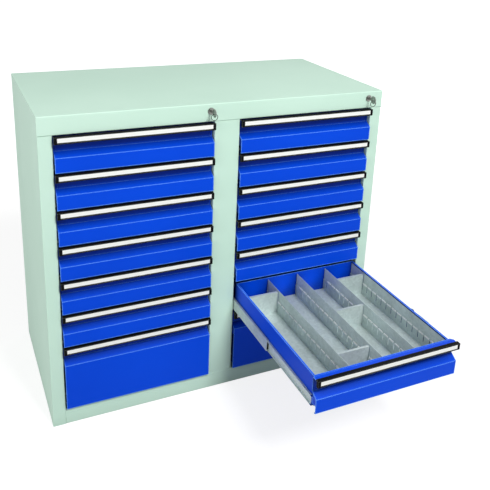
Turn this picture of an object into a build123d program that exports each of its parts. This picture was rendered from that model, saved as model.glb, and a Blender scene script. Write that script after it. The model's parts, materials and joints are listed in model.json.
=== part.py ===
from build123d import *
import math
import os

# Steel drawer cabinet: two columns of seven drawers on telescopic slides.
# Millimetres. x runs to the right, y into the cabinet, z up.
# The origin is on the floor, at the middle of the cabinet's footprint.

# Carcass
opening_width = 427.0
side_stile = 36.0
centre_stile_width = 74.0
depth = 500.0
rail_height = 50.0
row_heights = [100.0, 100.0, 100.0, 100.0, 100.0, 100.0, 200.0]
sheet = 1.2
bend = 2.5
front_return = 22.0
back_flange = 18.0
foot_width = 50.0

# Uprights that carry the slides
upright_sheet = 1.5
upright_width = 30.0
front_upright_y = 24.0
back_upright_y = 440.0

# Drawer box, heights measured from the bottom or top of its row
slide_room = 9.0
tray_sheet = 1.2
tray_lift = 10.0
tray_drop = 10.0
tray_hem = 5.0
back_room = 17.6
stay_in = 4.8

# Drawer front, a folded sheet
plate_proud = 8.0
plate_side_gap = 2.5
plate_bottom_gap = 3.5
crease_drop = 57.0
slope_rise = 13.0
recess_depth = 20.0
flange_drop = 5.0
flange_reach = 17.0
flange_behind = 6.0
flange_corner = 7.0
bottom_hem = 5.0
cheek_drop = 19.0
cheek_depth = 16.0

# Handle
handle_side_gap = 1.5
handle_top_gap = 2.0
handle_height = 18.5
handle_proud = 5.0
handle_wall = 2.5
handle_lip_back = -1.5
handle_hook = 6.0
handle_cap = 2.5
handle_cap_gap = 0.3
handle_edge = 0.8
label_height = 13.5
label_depth = 0.8
label_drop = 2.5
label_side_gap = 8.0

# Telescopic slides, three nested channels
slide_sheet = 1.2
slide_lift = 5.0
fixed_height = 36.0
fixed_reach = 7.2
nest_gap_x = 0.6
mid_gap_z = 0.8
mid_reach = 6.2
member_gap_z = 1.3
member_reach = 5.4
slide_inset = 16.0
slide_end_gap = 4.0
guide_length = 14.0
guide_gap = 0.4

# Catch on each drawer and the bar that blocks it
catch_y = 108.0
catch_length = 55.0
catch_height = 10.0
catch_drop = 12.0
catch_reach = 4.5
catch_ramp = 18.0
bar_thickness = 3.0
bar_width = 14.0
bar_set_back = 1.0
bar_y = 100.0
bar_lift = 8.0
finger_height = 8.0
finger_drop = 28.0
finger_reach = 7.0
bar_bottom = 60.0
guide_rise = 48.0
guide_height = 12.0
guide_wall = 2.5
bar_clearance = 0.3

# Lock with its key
lock_inset = 12.0
lock_height = 30.0
barrel_radius = 7.5
rosette_radius = 9.5
rosette_thickness = 2.0
barrel_length = 26.0
plug_radius = 5.0
plug_clearance = 0.1
plug_proud = 1.0
cam_gap = 0.5
cam_thickness = 2.0
pin_radius = 1.5
pin_length = 6.0
arm_gap = 1.5
arm_height = 12.0
arm_rim = 3.0
slot_clearance = 0.5
key_thickness = 2.0
key_shank = 11.0
key_blade = 7.0
key_depth = 8.0
key_clearance = 0.15
key_bow_radius = 11.0
key_bow_sides = 8
key_hole_radius = 2.5
ring_radius = 9.0
ring_wire = 1.4
ring_sides = 24
hang_gap = 0.45

# Divider set of the open drawer
open_drawer = ("right", 6)
divider_count = 5
divider_side_room = 4.5
divider_foot_gap = 0.6
divider_sheet = 1.0
divider_step = 1.6
divider_step_height = 36.0
divider_height = 72.0
divider_end_gap = 0.4
divider_slot_pitch = 25.0
divider_slot_width = 4.5
divider_slot_height = 18.0
divider_slot_drop = 2.5
cross_height = 68.0
cross_lip = 7.0
cross_corner = 3.0
cross_gap = 0.4
cross_tab = 12.0
cross_bite = 0.4
cross_slots = [15, 2, 9, 15]

# Worked out from the sizes above
width = 2 * side_stile + centre_stile_width + 2 * opening_width
height = 2 * rail_height + sum(row_heights)
front = -depth / 2
back = depth / 2
inner_back = back - sheet
opening_bottom = rail_height
opening_top = height - rail_height
outer_edge = width / 2 - side_stile
inner_edge = centre_stile_width / 2
column_x = {"left": -(outer_edge + inner_edge) / 2, "right": (outer_edge + inner_edge) / 2}
half_opening = opening_width / 2
tray_half = half_opening - slide_room
plate_half = half_opening - plate_side_gap
recess_y = recess_depth - plate_proud
hem_y = bottom_hem - plate_proud
tray_front = recess_y + tray_sheet
tray_back = depth - back_room
travel = tray_back - stay_in
slide_length = tray_back - slide_inset - slide_end_gap
mid_inset = slide_sheet + nest_gap_x
mid_bottom = slide_lift + slide_sheet + mid_gap_z
mid_height = fixed_height - 2 * (slide_sheet + mid_gap_z)
member_bottom = mid_bottom + slide_sheet + member_gap_z
member_height = mid_height - 2 * (slide_sheet + member_gap_z)
lock_z = opening_top + lock_height
pin_offset = bar_lift / 2
plug_front = front - rosette_thickness - plug_proud
bow_y = plug_front - key_shank - key_bow_radius
cam_y = front + barrel_length + cam_gap
arm_y = cam_y + cam_thickness + arm_gap
arm_bottom = lock_z - pin_offset - arm_height / 2
rows = range(1, len(row_heights) + 1)
divider_pitch = 2 * (tray_half - divider_side_room) / (divider_count - 1)

os.makedirs("parts", exist_ok=True)


def save(piece, name):
    """Labels a finished sub-part and writes it."""
    piece.label = name
    export_step(piece, f"parts/{name}.step")


def joined(*builders):
    """One sub-part of sheets that are spot-welded: they touch, and stay separate solids."""
    return Compound([solid for builder in builders for solid in builder.part.solids()])


def fold(points, thickness, radius=0.0):
    """Section of a sheet folded along points. The sheet lies to the right of the line."""
    with BuildLine() as outline:
        if radius:
            FilletPolyline(*points, radius=radius)
        else:
            Polyline(*points)
        offset(amount=thickness, side=Side.RIGHT)
    make_face(outline.edges())


def block(low, high, mode=Mode.ADD):
    """A box between two corners."""
    size = [b - a for a, b in zip(low, high)]
    with Locations(tuple((a + b) / 2 for a, b in zip(low, high))):
        Box(*size, mode=mode)


def row_base(row):
    """Height of the bottom of a row, counted from 1 at the top."""
    return opening_top - sum(row_heights[:row])


def row_top(row):
    """Height of the top of a row."""
    return row_base(row) + row_heights[row - 1]


def spot(column, row, share=1.0):
    """Place of a piece drawn from the foot of its row. Share is how far it follows its drawer out."""
    out = travel if (column, row) == open_drawer else 0.0
    return (column_x[column], front - share * out, row_base(row))


def lock_x(column):
    """Place across the cabinet of a column's lock."""
    return column_x[column] + half_opening - lock_inset


def rod(x, z, radius, near_y, far_y, mode=Mode.ADD):
    """A round bar along y."""
    with Locations(Location((x, (near_y + far_y) / 2, z), (90, 0, 0))):
        Cylinder(radius, far_y - near_y, mode=mode)


# Top panel: the top, its front rail with a return, and a flange down the back
with BuildPart() as top_panel:
    with BuildSketch(Plane.YZ.offset(-width / 2 + sheet)):
        fold(
            [
                (back, height - back_flange),
                (back, height),
                (front, height),
                (front, opening_top),
                (front + front_return, opening_top),
            ][::-1],
            sheet,
            bend,
        )
    extrude(amount=width - 2 * sheet)
    for end_x in (-width / 2, width / 2 - sheet):
        with BuildSketch(Plane.YZ.offset(end_x)):
            fold(
                [
                    (back, height - back_flange),
                    (back, height),
                    (front, height),
                    (front, opening_top),
                ][::-1],
                sheet,
                bend,
            )
        extrude(amount=sheet)
    for column in column_x:
        rod(lock_x(column), lock_z, barrel_radius, front - sheet, front + 2 * sheet, Mode.SUBTRACT)
save(top_panel.part, "top_panel")


# Side panels: the front stile with its return, the side and a flange behind
def side_section():
    """Plan of the left side panel."""
    fold(
        [
            (-outer_edge, front + front_return),
            (-outer_edge, front),
            (-width / 2, front),
            (-width / 2, inner_back),
            (-width / 2 + back_flange, inner_back),
        ],
        sheet,
        bend,
    )


with BuildPart() as left_side_panel:
    with BuildSketch(Plane.XY):
        side_section()
    extrude(amount=height - sheet)
    block((-width / 2 - 1, front - 1, opening_top), (-outer_edge + 1, front + sheet, height), Mode.SUBTRACT)
    block(
        (-width / 2 + sheet, front - 1, opening_top),
        (-outer_edge + 1, front + front_return + 1, height),
        Mode.SUBTRACT,
    )
    for corner_y in (front, back - bend):
        block(
            (-width / 2 - 1, corner_y, height - bend),
            (-width / 2 + back_flange + 1, corner_y + bend, height),
            Mode.SUBTRACT,
        )
save(left_side_panel.part, "left_side_panel")

with BuildPart() as right_side_panel:
    add(mirror(left_side_panel.part, about=Plane.YZ, mode=Mode.PRIVATE))
save(right_side_panel.part, "right_side_panel")

# Base: the bottom rail, the floor sheet and a foot channel under the middle
with BuildPart() as base_panel:
    with BuildSketch(Plane.YZ.offset(-width / 2 + sheet)):
        fold(
            [
                (front + front_return, 0),
                (front, 0),
                (front, opening_bottom),
                (inner_back, opening_bottom),
                (inner_back, opening_bottom - back_flange),
            ],
            sheet,
            bend,
        )
    extrude(amount=width - 2 * sheet)
    for side in (-1, 1):
        corner_low = min(side * outer_edge, side * width / 2)
        corner_high = max(side * outer_edge, side * width / 2)
        block(
            (corner_low, front - 1, -1),
            (corner_high, front + front_return, opening_bottom + 1),
            Mode.SUBTRACT,
        )
        flange_low = min(side * (width / 2 - back_flange), side * width / 2)
        flange_high = max(side * (width / 2 - back_flange), side * width / 2)
        block(
            (flange_low, inner_back - bend, -1),
            (flange_high, back, opening_bottom + 1),
            Mode.SUBTRACT,
        )
    with BuildSketch(Plane.XZ.offset(-(inner_back - sheet))):
        fold(
            [
                (foot_width / 2, opening_bottom - sheet),
                (foot_width / 2, 0),
                (-foot_width / 2, 0),
                (-foot_width / 2, opening_bottom - sheet),
            ],
            sheet,
        )
    extrude(amount=depth - 2 * sheet - front_return)
save(base_panel.part, "base_panel")

# Back panel, lapped over the flanges of the sides
with BuildPart() as back_panel:
    block(
        (-width / 2 + bend, inner_back, bend),
        (width / 2 - bend, back, height - back_flange),
    )
save(back_panel.part, "back_panel")

# Centre stile: a shallow channel between the two columns
with BuildPart() as centre_stile:
    with BuildSketch(Plane.XY.offset(opening_bottom)):
        fold(
            [
                (inner_edge, front + front_return),
                (inner_edge, front),
                (-inner_edge, front),
                (-inner_edge, front + front_return),
            ],
            sheet,
            bend,
        )
    extrude(amount=opening_top - opening_bottom)
save(centre_stile.part, "centre_stile")

# Centre partition, flanged where it meets the back
with BuildPart() as centre_partition:
    with BuildSketch(Plane.XY.offset(opening_bottom)):
        fold(
            [
                (-sheet / 2, front + front_return),
                (-sheet / 2, inner_back),
                (back_flange, inner_back),
            ],
            sheet,
            bend,
        )
    extrude(amount=height - sheet - opening_bottom)
    block((-bend, back - bend, height - bend), (back_flange + 1, back, height), Mode.SUBTRACT)
save(centre_partition.part, "centre_partition")


# Uprights: channels that the slides are fixed to
def upright_pair(edge_x, wall_x):
    """The front and the back upright between a side wall and the edge of an opening."""
    for start_y in (front_upright_y, back_upright_y):
        low_y = front + start_y
        high_y = low_y + upright_width
        corners = [(wall_x, high_y), (edge_x, high_y), (edge_x, low_y), (wall_x, low_y)]
        with BuildSketch(Plane.XY.offset(opening_bottom)) as section:
            fold(corners if wall_x < edge_x else corners[::-1], upright_sheet)
        extrude(section.sketch, amount=opening_top - opening_bottom)


with BuildPart() as uprights:
    upright_pair(-outer_edge, -width / 2 + sheet)
    upright_pair(inner_edge, sheet / 2)
    mirror(about=Plane.YZ)
save(uprights.part, "uprights")


def slide_pair(inset, bottom, tall, reach):
    """Two facing channels, inset from the edges of an opening. A positive reach opens them inwards."""
    for side in (-1, 1):
        web_x = side * (half_opening - inset)
        rim_x = web_x - side * reach
        corners = [(rim_x, bottom), (web_x, bottom), (web_x, bottom + tall), (rim_x, bottom + tall)]
        with BuildSketch(Plane.XZ.offset(-slide_inset - slide_length)) as section:
            fold(corners if web_x < rim_x else corners[::-1], slide_sheet)
        extrude(section.sketch, amount=slide_length)


# Cabinet members of the slides, hooked on the uprights
with BuildPart() as cabinet_pair:
    slide_pair(0, slide_lift, fixed_height, fixed_reach)

with BuildPart() as cabinet_slides:
    with Locations(*(spot(column, row, 0) for column in column_x for row in rows)):
        add(cabinet_pair.part)
save(cabinet_slides.part, "cabinet_slides")

# Middle members, each with a plastic guide that runs inside the drawer's own channel
with BuildPart() as middle_pair:
    slide_pair(mid_inset, mid_bottom, mid_height, mid_reach)
    guide_low = member_bottom + slide_sheet + guide_gap
    guide_high = member_bottom + member_height - slide_sheet - guide_gap
    guide_near = tray_half + slide_sheet + guide_gap
    guide_far = half_opening - mid_inset - slide_sheet
    block((guide_near, slide_inset, guide_low), (guide_far, slide_inset + guide_length, guide_high))
    block((-guide_far, slide_inset, guide_low), (-guide_near, slide_inset + guide_length, guide_high))

for column in column_x:
    for row in rows:
        with BuildPart() as mid_slides:
            with Locations(spot(column, row, 0.5)):
                add(middle_pair.part)
        save(mid_slides.part, f"mid_slides_{column}_{row}")


# Drawers
def drawer_front(row_height):
    """Folded front with a slope up to the finger recess, closed at its ends and capped by a flange."""
    crease_z = row_height - crease_drop
    flange_z = row_height - flange_drop - tray_sheet
    with BuildSketch(Plane.YZ.offset(-plate_half)) as section:
        fold(
            [
                (hem_y, plate_bottom_gap),
                (-plate_proud, plate_bottom_gap),
                (-plate_proud, crease_z),
                (recess_y, crease_z + slope_rise),
                (recess_y, flange_z),
            ],
            tray_sheet,
        )
    extrude(section.sketch, amount=2 * plate_half)

    middle = tray_sheet / 2
    rise = slope_rise / recess_depth
    for end_x in (-plate_half, plate_half - tray_sheet):
        with BuildSketch(Plane.YZ.offset(end_x)) as cheek:
            with BuildLine() as outline:
                Polyline(
                    (cheek_depth - plate_proud, crease_z - cheek_drop),
                    (middle - plate_proud, crease_z - cheek_drop),
                    (middle - plate_proud, crease_z + middle * rise - middle),
                    (cheek_depth - plate_proud, crease_z + cheek_depth * rise - middle),
                    close=True,
                )
            make_face(outline.edges())
        extrude(cheek.sketch, amount=tray_sheet)

    with BuildSketch(Plane.XY.offset(flange_z)) as flange:
        with Locations((0, recess_y + (flange_behind - flange_reach) / 2)):
            Rectangle(2 * plate_half, flange_reach + flange_behind)
        chamfer(flange.vertices().group_by(Axis.Y)[-1], flange_corner)
    extrude(flange.sketch, amount=tray_sheet)


def tray(row_height):
    """Box behind the front: floor and hemmed sides from one sheet, then the two end walls."""
    rim = row_height - tray_drop
    with BuildSketch(Plane.XZ.offset(-tray_back)) as section:
        fold(
            [
                (tray_half - tray_hem, rim),
                (tray_half, rim),
                (tray_half, tray_lift),
                (-tray_half, tray_lift),
                (-tray_half, rim),
                (-tray_half + tray_hem, rim),
            ],
            tray_sheet,
        )
    extrude(section.sketch, amount=tray_back - tray_front)
    inner_half = tray_half - tray_sheet
    floor_z = tray_lift + tray_sheet
    block((-inner_half, tray_back - tray_sheet, floor_z), (inner_half, tray_back, rim))
    block(
        (-inner_half, tray_front, floor_z),
        (inner_half, tray_front + tray_sheet, row_height - flange_drop - tray_sheet),
    )


def catch(row_height):
    """Catch on the right wall, square in front and sloped behind."""
    with BuildSketch(Plane.XY.offset(row_height - catch_drop - catch_height)) as plan:
        with BuildLine() as outline:
            Polyline(
                (tray_half, catch_y),
                (tray_half + catch_reach, catch_y),
                (tray_half + catch_reach, catch_y + catch_length - catch_ramp),
                (tray_half, catch_y + catch_length),
                close=True,
            )
        make_face(outline.edges())
    extrude(plan.sketch, amount=catch_height)


def handle_bar(row_height):
    """Handle: a lip on the flange, a front with a label groove, a hook below and two end caps."""
    half = half_opening - handle_side_gap
    face_y = -plate_proud - handle_proud
    top_z = row_height - handle_top_gap
    foot_z = top_z - handle_height
    lip_z = row_height - flange_drop
    with BuildSketch(Plane.YZ.offset(-half)) as section:
        with BuildLine() as outline:
            Polyline(
                (handle_lip_back, lip_z),
                (handle_lip_back, top_z),
                (face_y, top_z),
                (face_y, foot_z),
                (face_y + handle_hook, foot_z),
                (face_y + handle_hook, foot_z + handle_wall),
                (face_y + handle_wall, foot_z + handle_wall),
                (face_y + handle_wall, lip_z),
                close=True,
            )
        make_face(outline.edges())
        chamfer(section.vertices().group_by(Axis.X)[0], handle_edge)
    extrude(section.sketch, amount=2 * half)
    cap_back = recess_y - flange_reach - handle_cap_gap
    for end_x in (-half, half - handle_cap):
        block(
            (end_x, face_y + handle_wall / 2, foot_z + handle_wall / 2),
            (end_x + handle_cap, cap_back, top_z - handle_wall / 2),
        )
    label_top = top_z - label_drop
    block(
        (-half + label_side_gap, face_y - 1, label_top - label_height),
        (half - label_side_gap, face_y + label_depth, label_top),
        Mode.SUBTRACT,
    )


plain_drawers = {}
plain_handles = {}
for row_height in sorted(set(row_heights)):
    with BuildPart() as plain_front:
        drawer_front(row_height)
    with BuildPart() as plain_tray:
        tray(row_height)
    with BuildPart() as plain_channels:
        slide_pair(slide_room, member_bottom, member_height, -member_reach)
    with BuildPart() as plain_catch:
        catch(row_height)
    plain_drawers[row_height] = joined(plain_front, plain_tray, plain_channels, plain_catch)
    with BuildPart() as plain_handle:
        handle_bar(row_height)
    plain_handles[row_height] = plain_handle.part

for column in column_x:
    for row in rows:
        drawer = Pos(*spot(column, row)) * plain_drawers[row_heights[row - 1]]
        save(drawer, f"drawer_{column}_{row}")
        with BuildPart() as handle:
            with Locations(spot(column, row)):
                add(plain_handles[row_heights[row - 1]])
        save(handle.part, f"handle_{column}_{row}")

# Divider set of the open drawer
floor_z = tray_lift + tray_sheet
divider_front = tray_front + tray_sheet + divider_end_gap
divider_back = tray_back - tray_sheet - divider_end_gap
ledge_z = floor_z + divider_step_height
slot_top = ledge_z - divider_slot_drop
slot_count = int((divider_back - divider_front) // divider_slot_pitch)


def divider_x(number):
    """Place across the drawer of a long divider, counted from 0 at the left."""
    return (number - (divider_count - 1) / 2) * divider_pitch


def divider_slot_y(number):
    """Place along the drawer of a slot, counted from 0 at the front."""
    middle = (divider_front + divider_back) / 2
    return middle + (number - (slot_count - 1) / 2) * divider_slot_pitch


with BuildPart() as divider_set:
    for number in range(divider_count):
        face_x = divider_x(number) - divider_sheet / 2
        foot_x = face_x - divider_pitch + divider_sheet + divider_foot_gap
        web = [
            (face_x, floor_z),
            (face_x, ledge_z),
            (face_x + divider_step, ledge_z),
            (face_x + divider_step, floor_z + divider_height),
        ]
        foot = [(foot_x, floor_z + divider_sheet), (face_x, floor_z + divider_sheet)]
        with BuildSketch(Plane.XZ.offset(-divider_back)):
            fold(foot + web[1:] if number else web, divider_sheet)
        extrude(amount=divider_back - divider_front)
    for number in range(slot_count):
        slot_y = divider_slot_y(number)
        block(
            (-tray_half, slot_y - divider_slot_width / 2, slot_top - divider_slot_height),
            (tray_half, slot_y + divider_slot_width / 2, slot_top),
            Mode.SUBTRACT,
        )

with BuildPart() as long_dividers:
    with Locations(spot(*open_drawer)):
        add(divider_set.part)
save(long_dividers.part, "long_dividers")

with BuildPart() as cross_set:
    for number, slot in enumerate(cross_slots):
        low_x = divider_x(number) + divider_sheet / 2 + divider_step + cross_gap
        high_x = divider_x(number + 1) - divider_sheet / 2 - cross_gap
        face_y = divider_slot_y(slot) - divider_sheet / 2
        top_z = floor_z + cross_height
        with BuildSketch(Plane.YZ.offset(low_x)):
            fold(
                [(face_y, floor_z + divider_sheet), (face_y, top_z), (face_y + cross_lip, top_z)],
                divider_sheet,
            )
        extrude(amount=high_x - low_x)
        tab_z = slot_top - divider_slot_height / 2
        block(
            (divider_x(number) + divider_sheet / 2 - cross_bite, face_y, tab_z - cross_tab / 2),
            (high_x + cross_gap + cross_bite, face_y + divider_sheet, tab_z + cross_tab / 2),
        )
    lip_edges = cross_set.edges().filter_by(Axis.Z).filter_by(lambda e: e.center().Z > top_z - divider_sheet)
    chamfer(lip_edges, cross_corner)

with BuildPart() as cross_dividers:
    with Locations(spot(*open_drawer)):
        add(cross_set.part)
save(cross_dividers.part, "cross_dividers")

# Locks: barrels in the top rail, and guides for the bars on the walls
wall_x = {"left": -sheet / 2, "right": width / 2 - sheet}
with BuildPart() as lock_fittings:
    for column in column_x:
        axis_x = lock_x(column)
        rod(axis_x, lock_z, rosette_radius, front - rosette_thickness, front)
        rod(axis_x, lock_z, barrel_radius, front - rosette_thickness, front + barrel_length)
        bore = plug_radius + plug_clearance
        rod(axis_x, lock_z, bore, front - rosette_thickness, front + barrel_length, Mode.SUBTRACT)
        bar_x = axis_x + lock_inset + bar_set_back
        for row in (rows[0], rows[-1]):
            guide_z = row_base(row) + guide_rise
            block(
                (bar_x - bar_clearance - guide_wall, front + bar_y - bar_clearance - guide_wall, guide_z),
                (wall_x[column], front + bar_y + bar_thickness + bar_clearance + guide_wall, guide_z + guide_height),
            )
            block(
                (bar_x - bar_clearance, front + bar_y - bar_clearance, guide_z),
                (
                    bar_x + bar_width + bar_clearance,
                    front + bar_y + bar_thickness + bar_clearance,
                    guide_z + guide_height,
                ),
                Mode.SUBTRACT,
            )
save(lock_fittings.part, "lock_fittings")

for column in column_x:
    axis_x = lock_x(column)
    pin_x = axis_x - pin_offset
    pin_z = lock_z - pin_offset

    # Plug with its cam and pin, and the key in its slot
    with BuildPart() as lock_plug:
        rod(axis_x, lock_z, plug_radius, plug_front, cam_y)
        with BuildSketch(Plane.XZ.offset(-cam_y - cam_thickness)):
            with Locations(((axis_x + pin_x) / 2, (lock_z + pin_z) / 2)):
                Rectangle(math.hypot(pin_offset, pin_offset) + 2 * plug_radius, 2 * plug_radius, rotation=45)
        extrude(amount=cam_thickness)
        rod(pin_x, pin_z, pin_radius, cam_y + cam_thickness, cam_y + cam_thickness + pin_length)
        slot_x = key_thickness / 2 + key_clearance
        slot_z = key_blade / 2 + key_clearance
        block(
            (axis_x - slot_x, plug_front, lock_z - slot_z),
            (axis_x + slot_x, plug_front + key_depth + key_clearance, lock_z + slot_z),
            Mode.SUBTRACT,
        )
        with BuildSketch(Plane.YZ.offset(axis_x - key_thickness / 2)):
            with Locations(((bow_y + plug_front + key_depth) / 2, lock_z)):
                Rectangle(plug_front + key_depth - bow_y, key_blade)
            with Locations((bow_y, lock_z)):
                RegularPolygon(key_bow_radius, key_bow_sides, major_radius=False, rotation=180 / key_bow_sides)
                Circle(key_hole_radius, mode=Mode.SUBTRACT)
        extrude(amount=key_thickness)
    save(lock_plug.part, f"lock_plug_{column}")

    # Ring through the hole of the key's bow
    with BuildPart() as key_ring:
        ring_z = lock_z - key_hole_radius + hang_gap + ring_wire / 2 - ring_radius
        with BuildSketch(Plane.XZ.offset(-bow_y - ring_wire / 2)):
            with Locations((axis_x, ring_z)):
                RegularPolygon(ring_radius + ring_wire / 2, ring_sides)
                RegularPolygon(ring_radius - ring_wire / 2, ring_sides, mode=Mode.SUBTRACT)
        extrude(amount=ring_wire)
    save(key_ring.part, f"key_ring_{column}")

    # Bar with a finger in front of every catch, and an arm that the pin lifts
    bar_x = axis_x + lock_inset + bar_set_back
    bar_front = front + bar_y
    arm_top = arm_bottom + arm_height
    with BuildPart() as strip:
        block((bar_x, bar_front, bar_bottom), (bar_x + bar_width, bar_front + bar_thickness, arm_top))
    with BuildPart() as fingers:
        for row in rows:
            finger_z = row_top(row) - finger_drop
            block(
                (bar_x - bar_set_back - finger_reach, bar_front, finger_z - finger_height),
                (bar_x, bar_front + bar_thickness, finger_z),
            )
    with BuildPart() as arm:
        arm_x = bar_x + (bar_width - bar_thickness) / 2
        block((arm_x, arm_y, arm_bottom), (arm_x + bar_thickness, bar_front, arm_top))
        slot_half = pin_radius + slot_clearance
        cam_swing = math.hypot(pin_offset, pin_offset) - pin_offset
        block(
            (pin_x - cam_swing - slot_half - arm_rim, arm_y, arm_bottom),
            (arm_x, arm_y + bar_thickness, arm_top),
        )
        with BuildSketch(Plane.XZ.offset(-arm_y - bar_thickness)):
            with Locations((pin_x - cam_swing / 2, pin_z)):
                SlotCenterToCenter(cam_swing, 2 * slot_half)
        extrude(amount=bar_thickness, mode=Mode.SUBTRACT)
    save(joined(strip, fingers, arm), f"lock_bar_{column}")
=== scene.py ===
import json
import math

import bmesh
import bpy
from mathutils import Matrix, Vector


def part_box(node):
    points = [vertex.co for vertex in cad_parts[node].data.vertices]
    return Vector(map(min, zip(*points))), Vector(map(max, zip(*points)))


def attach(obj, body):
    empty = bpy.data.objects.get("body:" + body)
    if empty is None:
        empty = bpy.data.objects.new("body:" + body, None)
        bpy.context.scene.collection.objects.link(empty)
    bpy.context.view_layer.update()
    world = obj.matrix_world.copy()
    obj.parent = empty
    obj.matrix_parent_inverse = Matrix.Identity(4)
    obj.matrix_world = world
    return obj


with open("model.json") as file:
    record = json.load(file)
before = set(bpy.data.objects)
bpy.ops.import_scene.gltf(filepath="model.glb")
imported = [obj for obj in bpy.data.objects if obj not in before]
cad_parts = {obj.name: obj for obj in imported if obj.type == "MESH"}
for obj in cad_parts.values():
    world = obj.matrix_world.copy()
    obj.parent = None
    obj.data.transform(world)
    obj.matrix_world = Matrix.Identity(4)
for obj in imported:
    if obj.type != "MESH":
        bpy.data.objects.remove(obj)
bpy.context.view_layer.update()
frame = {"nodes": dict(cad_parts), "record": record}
nodes = frame["nodes"]

# Sizes of the solids, in metres
COLUMNS = ("left", "right")
ROWS = range(1, 8)
COLUMN_X = 0.2505
FRONT_Y = -0.25
TRAVEL = 0.4776
TRAY_HALF = 0.2045
FLANGE_PROUD = 0.008
CATCH_BACK = 0.163
DIVIDER_COUNT = 5
DIVIDER_PITCH = 0.1
DIVIDER_SHEET = 0.001
DIVIDER_STEP = 0.0016
DIVIDER_STEP_HEIGHT = 0.036
SLOT_PITCH = 0.025
SLOT_HALF = 0.00225
SLOT_HEIGHT = 0.018
SLOT_DROP = 0.0025

# Sizes of the pieces made here, in metres
LABEL_SIDE = 0.008
LABEL_DROP = 0.0025
LABEL_HEIGHT = 0.0114
LABEL_DEPTH = 0.0008
LABEL_THICKNESS = 0.0006
LABEL_EDGE = 0.0002
GUIDE_INSET = 0.001
GUIDE_WIDTH = 0.0064
GUIDE_PROUD = 0.0008
GUIDE_LENGTH = 0.0146
GUIDE_END_GAP = 0.0044
GUIDE_EDGE = 0.0006
BUMPER_PAST_CATCH = 0.008
BUMPER_LENGTH = 0.011
BUMPER_WIDTH = 0.0048
BUMPER_DROP = 0.0055
BUMPER_HEIGHT = 0.01
BUMPER_EDGE = 0.0015
LEDGE_HALF = 0.0095
LEDGE_PROUD = 0.0012
LEDGE_BELOW = 0.001
LEDGE_ABOVE = 0.003
LEDGE_EDGE = 0.0005
LIP_GAP_HALF = 0.0012
LIP_INSET = 0.0001
LIP_EDGE = 0.0002
SEAT = 0.0002

# Where the bare slide channels start behind a front, past its finger recess
CHANNEL_START = 0.0215
CHANNEL_CLEARANCE = 0.0001


# Material helpers
def feed(socket, value):
    """Link a socket to another one, or give it a number or a colour."""
    if isinstance(value, float):
        socket.default_value = value
    elif isinstance(value, tuple):
        socket.default_value = (*value, 1.0)
    else:
        socket.id_data.links.new(value, socket)


def adder(tree):
    """A function that adds a node to a tree, with linked inputs and set values."""

    def add(kind, links=(), **values):
        node = tree.nodes.new(kind)
        for key, value in values.items():
            if key[0].isupper():
                node.inputs[key.replace("_", " ")].default_value = value
            else:
                setattr(node, key, value)
        for socket, source in dict(links).items():
            feed(node.inputs[socket], source)
        return node

    return add


def new_material(name):
    """A node material, its Principled shader's inputs, and a function that adds nodes to it."""
    material = bpy.data.materials.new(name)
    material.use_nodes = True
    tree = material.node_tree
    return material, tree.nodes["Principled BSDF"].inputs, adder(tree)


def compute(add, operation, *terms):
    """A math node's result, from sockets or numbers."""
    return add("ShaderNodeMath", dict(enumerate(terms)), operation=operation).outputs[0]


def rescale(add, value, low, high, start=0.0, end=1.0):
    """Value mapped from start to end onto low to high, and held there."""
    limits = {"From_Min": start, "From_Max": end, "To_Min": low, "To_Max": high}
    return add("ShaderNodeMapRange", {"Value": value}, **limits).outputs["Result"]


def ramp(add, factor, stops):
    """A colour ramp fed by factor, with two stops of (position, colour)."""
    node = add("ShaderNodeValToRGB", {"Fac": factor})
    for element, (position, colour) in zip(node.color_ramp.elements, stops):
        element.position = position
        element.color = (*colour, 1.0)
    return node.outputs["Color"]


def blend(add, share, first, second, mode="MIX"):
    """Colour between two sockets or colours."""
    node = add("ShaderNodeMix", {"Factor": share, 6: first, 7: second}, data_type="RGBA", blend_type=mode)
    return node.outputs[2]


def object_place(add):
    """A point's place in the cabinet's own frame."""
    return add("ShaderNodeTexCoord").outputs["Object"]


def noise(add, place, scale, detail):
    """Noise of a given scale, in 1/m."""
    return add("ShaderNodeTexNoise", {"Vector": place}, Scale=scale, Detail=detail).outputs["Fac"]


def relief(add, height, strength, distance):
    """A normal that follows height."""
    return add("ShaderNodeBump", {"Height": height}, Strength=strength, Distance=distance).outputs["Normal"]


def edge_wear_and_highlight_share(add, radius, reach):
    """How near a point is to an edge of its own sheet, from 0 on a flat to 1 on the edge."""
    rounded = add("ShaderNodeBevel", samples=6, Radius=radius).outputs["Normal"]
    plain = add("ShaderNodeNewGeometry").outputs["Normal"]
    match = add("ShaderNodeVectorMath", {0: rounded, 1: plain}, operation="DOT_PRODUCT").outputs["Value"]
    return rescale(add, match, 0.0, 1.0, 1.0, 1.0 - reach)


def painted_shade_share(add, strength):
    """How deep a point lies in a fold or corner, up to strength, as the share of painted shade there."""
    room = add("ShaderNodeAmbientOcclusion", samples=8, Distance=0.05).outputs["AO"]
    return rescale(add, room, 0.0, strength, 0.92, 0.5)


def channel_share(add, place, start_y):
    """1 on the slide channels outside a drawer's side walls, and 0 on its painted sheet."""
    parts = add("ShaderNodeSeparateXYZ", {"Vector": place}).outputs
    offset = compute(add, "SUBTRACT", compute(add, "ABSOLUTE", parts["X"]), COLUMN_X)
    distance = compute(add, "ABSOLUTE", offset)
    outside = compute(add, "GREATER_THAN", distance, TRAY_HALF + CHANNEL_CLEARANCE)
    behind = compute(add, "GREATER_THAN", parts["Y"], start_y)
    return compute(add, "MULTIPLY", outside, behind)


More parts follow.
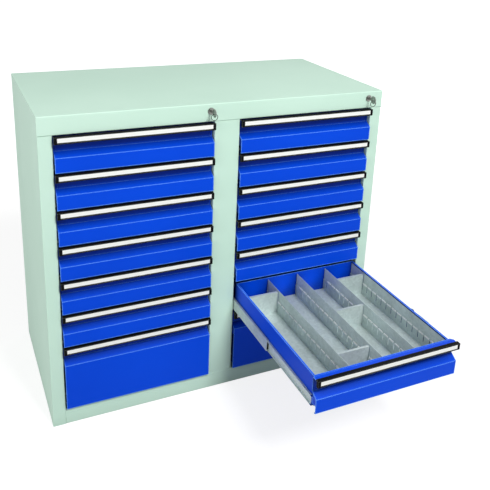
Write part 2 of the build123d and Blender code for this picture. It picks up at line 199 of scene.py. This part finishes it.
def powder_coat(
    name, colour, deep, edge, roughness, specular, edge_radius=0.001, reach=0.2, painted_shade=0.15, bare_from=None
):
    """Powder-coated sheet: orange peel, slight drift of the colour, edges lightened for wear through the
    paint and as a painted highlight, and painted shade in folds.
    """
    material, inputs, add = new_material(name)
    place = object_place(add)
    tone = ramp(add, noise(add, place, 3.0, 3.0), [(0.35, deep), (0.65, colour)])
    # Edges lightened towards the edge colour: partly wear through the paint, partly a painted highlight on
    # the rounded folds.
    tone = blend(add, edge_wear_and_highlight_share(add, edge_radius, reach), tone, edge)
    # Painted shade: folds, corners and finger recesses darkened towards 0.3 of the deep tone.
    tone = blend(add, painted_shade_share(add, painted_shade), tone, tuple(0.3 * value for value in deep))
    if bare_from is not None:
        share = channel_share(add, place, bare_from)
        spangle = add("ShaderNodeTexVoronoi", {"Vector": place}, Scale=160.0).outputs["Color"]
        bare = ramp(add, spangle, [(0.2, (0.54, 0.63, 0.62)), (0.8, (0.62, 0.71, 0.7))])
        tone = blend(add, share, tone, bare)
        feed(inputs["Metallic"], rescale(add, share, 0.0, 0.3))
    feed(inputs["Base Color"], tone)
    peel = noise(add, place, 900.0, 2.0)
    feed(inputs["Roughness"], rescale(add, peel, roughness - 0.04, roughness + 0.05))
    feed(inputs["Normal"], relief(add, peel, 0.06, 0.0004))
    feed(inputs["Specular IOR Level"], specular)
    return material


def moulded(name, colour, edge, roughness, specular):
    """Moulded plastic with a fine spark-eroded grain, and edges lightened as rubbing and as a painted
    highlight.
    """
    material, inputs, add = new_material(name)
    place = object_place(add)
    wear = noise(add, place, 25.0, 4.0)
    tone = ramp(add, wear, [(0.4, tuple(0.7 * value for value in colour)), (0.65, colour)])
    # Edges lightened towards the edge colour: rubbing and a painted highlight line.
    feed(inputs["Base Color"], blend(add, edge_wear_and_highlight_share(add, 0.0009, 0.25), tone, edge))
    feed(inputs["Roughness"], rescale(add, wear, roughness - 0.06, roughness + 0.08))
    feed(inputs["Normal"], relief(add, noise(add, place, 1800.0, 2.0), 0.12, 0.0002))
    feed(inputs["Specular IOR Level"], specular)
    return material


def galvanised(name, light, dark, metallic, roughness):
    """Zinc-coated sheet with soft spangle."""
    material, inputs, add = new_material(name)
    place = object_place(add)
    spangle = add("ShaderNodeTexVoronoi", {"Vector": place}, Scale=160.0).outputs
    tone = ramp(add, spangle["Color"], [(0.2, dark), (0.8, light)])
    cloud = ramp(add, noise(add, place, 14.0, 5.0), [(0.3, (0.82, 0.82, 0.82)), (0.7, (1.0, 1.0, 1.0))])
    feed(inputs["Base Color"], blend(add, 1.0, tone, cloud, "MULTIPLY"))
    feed(inputs["Metallic"], metallic)
    feed(inputs["Roughness"], rescale(add, spangle["Distance"], roughness - 0.07, roughness + 0.1))
    return material


def bright_metal(name, colour, roughness):
    """Nickel-plated metal with fine turning marks."""
    material, inputs, add = new_material(name)
    marks = noise(add, object_place(add), 700.0, 3.0)
    dark = tuple(0.75 * value for value in colour)
    feed(inputs["Base Color"], ramp(add, marks, [(0.35, dark), (0.65, colour)]))
    feed(inputs["Metallic"], 1.0)
    feed(inputs["Roughness"], roughness)
    feed(inputs["Normal"], relief(add, marks, 0.08, 0.0001))
    return material


def label_card(name):
    """White card under a clear strip."""
    material, inputs, add = new_material(name)
    fibre = noise(add, object_place(add), 2500.0, 2.0)
    feed(inputs["Base Color"], ramp(add, fibre, [(0.3, (0.86, 0.88, 0.84)), (0.7, (0.93, 0.94, 0.9))]))
    feed(inputs["Roughness"], 0.35)
    feed(inputs["Coat Weight"], 0.4)
    feed(inputs["Coat Roughness"], 0.12)
    return material


def front_coat(name, front_y):
    """The drawers' blue coat, for a drawer whose front stands at front_y."""
    return powder_coat(
        name,
        (0.0, 0.07, 0.76),
        (0.0, 0.062, 0.7),
        # Light blue edge colour: edge wear and a painted highlight on the creases of the fronts.
        (0.16, 0.42, 1.0),
        roughness=0.42,
        specular=0.12,
        edge_radius=0.003,
        reach=0.1,
        # Strong painted shade in the finger recesses under the handles.
        painted_shade=0.8,
        bare_from=front_y + CHANNEL_START,
    )


# The grey edge colour is rubbing and a painted highlight line along the handles.
black_plastic = moulded("black_plastic", (0.004, 0.004, 0.005), (0.2, 0.22, 0.21), 0.58, 0.05)
zinc = galvanised("galvanised_steel", (0.62, 0.71, 0.7), (0.54, 0.63, 0.62), 0.3, 0.38)
# Near-white copy of the zinc: a painted highlight where the ledges catch the light.
zinc_with_painted_highlight = galvanised("zinc_with_painted_highlight", (0.96, 0.98, 0.97), (0.9, 0.94, 0.93), 0.0, 0.3)
card = label_card("label_card")
slot_material = {
    "carcass_paint": powder_coat(
        # The third colour lightens the edges: edge wear and a painted highlight.
        "carcass_paint", (0.62, 0.85, 0.72), (0.59, 0.82, 0.69), (0.68, 0.9, 0.78), 0.55, 0.2
    ),
    "front_paint": front_coat("front_paint", FRONT_Y),
    "black_plastic": black_plastic,
    "galvanised_steel": zinc,
    "nickel": bright_metal("nickel", (0.3, 0.31, 0.29), 0.3),
}
for entry in frame["record"]["subparts"]:
    piece = nodes[entry["node"]]
    piece.data.materials.clear()
    piece.data.materials.append(slot_material[entry["material_slot"]])
nodes["drawer_right_6"].data.materials[0] = front_coat("open_front_paint", FRONT_Y - TRAVEL)


# Piece helpers
def mesh_piece(name, builder, material, body):
    """A mesh object filled by builder, riding on a body."""
    shape = bmesh.new()
    builder(shape)
    mesh = bpy.data.meshes.new(name)
    shape.to_mesh(mesh)
    shape.free()
    mesh.materials.append(material)
    piece = bpy.data.objects.new(name, mesh)
    bpy.context.scene.collection.objects.link(piece)
    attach(piece, body)


def rounded_box(low, high, radius, segments):
    """A function that draws a box with rounded edges in a bmesh."""
    middle = (Vector(low) + Vector(high)) / 2
    size = Vector(high) - Vector(low)
    matrix = Matrix.Translation(middle) @ Matrix.Diagonal((*size, 1.0))

    def build(shape):
        corners = bmesh.ops.create_cube(shape, size=1.0, matrix=matrix)["verts"]
        own = list({edge for corner in corners for edge in corner.link_edges})
        bmesh.ops.bevel(shape, geom=own, offset=radius, segments=segments, affect="EDGES")

    return build


def together(builders):
    """A function that draws several shapes in one bmesh."""

    def build(shape):
        for builder in builders:
            builder(shape)

    return build


def soften(piece, width):
    """Rounded edges that catch the light."""
    bevel = piece.modifiers.new("edges", "BEVEL")
    bevel.width = width
    bevel.segments = 2
    bevel.limit_method = "ANGLE"
    bevel.angle_limit = math.radians(35.0)
    bevel.harden_normals = True
    for polygon in piece.data.polygons:
        polygon.use_smooth = True


def label_strip(column, row):
    """Printed insert in the groove of a handle."""
    low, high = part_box(f"handle_{column}_{row}")
    face_y = low.y + LABEL_DEPTH
    top = high.z - LABEL_DROP
    return rounded_box(
        (low.x + LABEL_SIDE, face_y - LABEL_THICKNESS, top - LABEL_HEIGHT),
        (high.x - LABEL_SIDE, face_y, top),
        LABEL_EDGE,
        1,
    )


def slide_guides(column, row):
    """Black guides in the front ends of a drawer's two middle slides."""
    low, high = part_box(f"mid_slides_{column}_{row}")
    return together(
        rounded_box(
            (inner, low.y - GUIDE_PROUD, low.z + GUIDE_END_GAP),
            (inner + GUIDE_WIDTH, low.y + GUIDE_LENGTH, high.z - GUIDE_END_GAP),
            GUIDE_EDGE,
            3,
        )
        for inner in (low.x + GUIDE_INSET, high.x - GUIDE_INSET - GUIDE_WIDTH)
    )


def wall_bumper(column, row):
    """Small bumper on the right wall of a drawer, behind its catch."""
    low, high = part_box(f"drawer_{column}_{row}")
    wall_x = (low.x + high.x) / 2 + TRAY_HALF
    near_y = low.y + FLANGE_PROUD + CATCH_BACK + BUMPER_PAST_CATCH
    top = high.z - BUMPER_DROP
    return rounded_box(
        (wall_x - SEAT, near_y, top - BUMPER_HEIGHT),
        (wall_x + BUMPER_WIDTH, near_y + BUMPER_LENGTH, top),
        BUMPER_EDGE,
        3,
    )


for column in COLUMNS:
    for row in ROWS:
        tag = f"{column}_{row}"
        drawer_body = f"drawer_body_{tag}"
        mesh_piece(f"label_{tag}", label_strip(column, row), card, drawer_body)
        guides = slide_guides(column, row)
        mesh_piece(f"guides_{tag}", guides, black_plastic, f"slide_body_{tag}")
        mesh_piece(f"bumper_{tag}", wall_bumper(column, row), black_plastic, drawer_body)
        soften(nodes[f"drawer_{tag}"], 0.0005)
        soften(nodes[f"handle_{tag}"], 0.0004)
for name in ("top_panel", "left_side_panel", "right_side_panel", "base_panel", "centre_stile"):
    soften(nodes[name], 0.0003)

# Rolled ledges between the dividers' slots, in a near-white zinc that is a painted highlight, and folded
# lips that narrow the slots
set_low, set_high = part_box("long_dividers")
slot_count = int((set_high.y - set_low.y) // SLOT_PITCH)
first_slot_y = (set_low.y + set_high.y) / 2 - (slot_count - 1) / 2 * SLOT_PITCH
slot_ys = [first_slot_y + number * SLOT_PITCH for number in range(slot_count)]
first_face_x = COLUMN_X - (DIVIDER_COUNT - 1) / 2 * DIVIDER_PITCH - DIVIDER_SHEET / 2
face_xs = [first_face_x + number * DIVIDER_PITCH for number in range(DIVIDER_COUNT)]
ledge_z = set_low.z + DIVIDER_STEP_HEIGHT
slot_top = ledge_z - SLOT_DROP
ledges = together(
    rounded_box(
        (face_x - LEDGE_PROUD, slot_y + SLOT_PITCH / 2 - LEDGE_HALF, ledge_z - LEDGE_BELOW),
        (face_x + DIVIDER_STEP + SEAT, slot_y + SLOT_PITCH / 2 + LEDGE_HALF, ledge_z + LEDGE_ABOVE),
        LEDGE_EDGE,
        2,
    )
    for face_x in face_xs
    for slot_y in slot_ys[:-1]
)
slot_lips = together(
    rounded_box(
        (face_x + LIP_INSET, slot_y + near_y, slot_top - SLOT_HEIGHT - SEAT),
        (face_x + DIVIDER_SHEET - LIP_INSET, slot_y + far_y, slot_top + SEAT),
        LIP_EDGE,
        1,
    )
    for face_x in face_xs
    for slot_y in slot_ys
    for near_y, far_y in ((-SLOT_HALF - SEAT, -LIP_GAP_HALF), (LIP_GAP_HALF, SLOT_HALF + SEAT))
)
mesh_piece("divider_ledges", ledges, zinc_with_painted_highlight, "drawer_body_right_6")
mesh_piece("divider_slot_lips", slot_lips, zinc, "drawer_body_right_6")


# Stage: a pale floor that keeps the shadow
def seen_directly(add):
    """1 on a ray from the camera, a mirror or a clear part, and 0 on light that falls on the object."""
    path = add("ShaderNodeLightPath").outputs
    seen = compute(add, "MAXIMUM", path["Is Camera Ray"], path["Is Glossy Ray"])
    return compute(add, "MAXIMUM", seen, path["Is Transmission Ray"])


def stage_floor(half):
    """A square floor, brighter with distance, so that it ends in the white background."""
    mesh = bpy.data.meshes.new("floor")
    corners = [(-half, -half, 0.0), (half, -half, 0.0), (half, half, 0.0), (-half, half, 0.0)]
    mesh.from_pydata(corners, [], [(0, 1, 2, 3)])
    floor = bpy.data.objects.new("floor", mesh)
    bpy.context.scene.collection.objects.link(floor)
    material, inputs, add = new_material("floor")
    feed(inputs["Base Color"], (0.28, 0.28, 0.28))
    feed(inputs["Roughness"], 0.9)
    feed(inputs["Emission Color"], (1.0, 1.0, 1.0))
    distance = add("ShaderNodeVectorMath", {0: object_place(add)}, operation="LENGTH").outputs["Value"]
    glow = rescale(add, distance, 0.8, 1.0, 1.2, 2.6)
    feed(inputs["Emission Strength"], compute(add, "MULTIPLY", seen_directly(add), glow))
    mesh.materials.append(material)


stage_floor(12.0)

# World: white to the camera, soft studio light to the object
world = bpy.data.worlds.new("studio")
bpy.context.scene.world = world
world.use_nodes = True
background = world.node_tree.nodes["Background"].inputs
add_to_world = adder(world.node_tree)
feed(background["Color"], (1.0, 1.0, 1.0))
feed(background["Strength"], rescale(add_to_world, seen_directly(add_to_world), 0.25, 1.0))


def area_light(name, place, target, size, power):
    """A soft box that faces target."""
    light = bpy.data.lights.new(name, "AREA")
    light.shape = "RECTANGLE"
    light.size, light.size_y = size
    light.energy = power
    lamp = bpy.data.objects.new(name, light)
    bpy.context.scene.collection.objects.link(lamp)
    lamp.location = place
    lamp.rotation_mode = "QUATERNION"
    lamp.rotation_quaternion = (Vector(target) - Vector(place)).to_track_quat("-Z", "Y")


area_light("key", (0.6, -3.2, 3.5), (0.0, -0.2, 0.5), (1.0, 1.0), 158.0)
area_light("fill", (-3.0, -0.8, 1.3), (0.0, 0.0, 0.5), (1.6, 1.6), 36.0)
area_light("back", (2.6, 3.1, 0.6), (0.0, 0.0, 0.45), (1.8, 0.9), 50.0)

# Camera, fitted to the photograph's 490 x 490 frame
PHOTO = 490.0
FOCAL_PIXELS = 678.65
CENTRE_ROW = 141.19
SENSOR = 36.0
CAMERA_PLACE = (-0.7045, -1.8658, 1.3654)
YAW, PITCH, ROLL = math.radians(25.147), math.radians(-18.0), math.radians(2.36)
camera_data = bpy.data.cameras.new("camera")
camera_data.sensor_width = SENSOR
camera_data.lens = FOCAL_PIXELS * SENSOR / PHOTO
camera_data.shift_y = (CENTRE_ROW - PHOTO / 2) / PHOTO
camera = bpy.data.objects.new("camera", camera_data)
bpy.context.scene.collection.objects.link(camera)
forward = Vector((math.sin(YAW) * math.cos(PITCH), math.cos(YAW) * math.cos(PITCH), math.sin(PITCH)))
level_right = Vector((math.cos(YAW), -math.sin(YAW), 0.0))
level_up = level_right.cross(forward)
right = math.cos(ROLL) * level_right + math.sin(ROLL) * level_up
up = -math.sin(ROLL) * level_right + math.cos(ROLL) * level_up
camera.matrix_world = Matrix.Translation(CAMERA_PLACE) @ Matrix((right, up, -forward)).transposed().to_4x4()
bpy.context.scene.camera = camera

bpy.context.scene.view_settings.view_transform = "Standard"
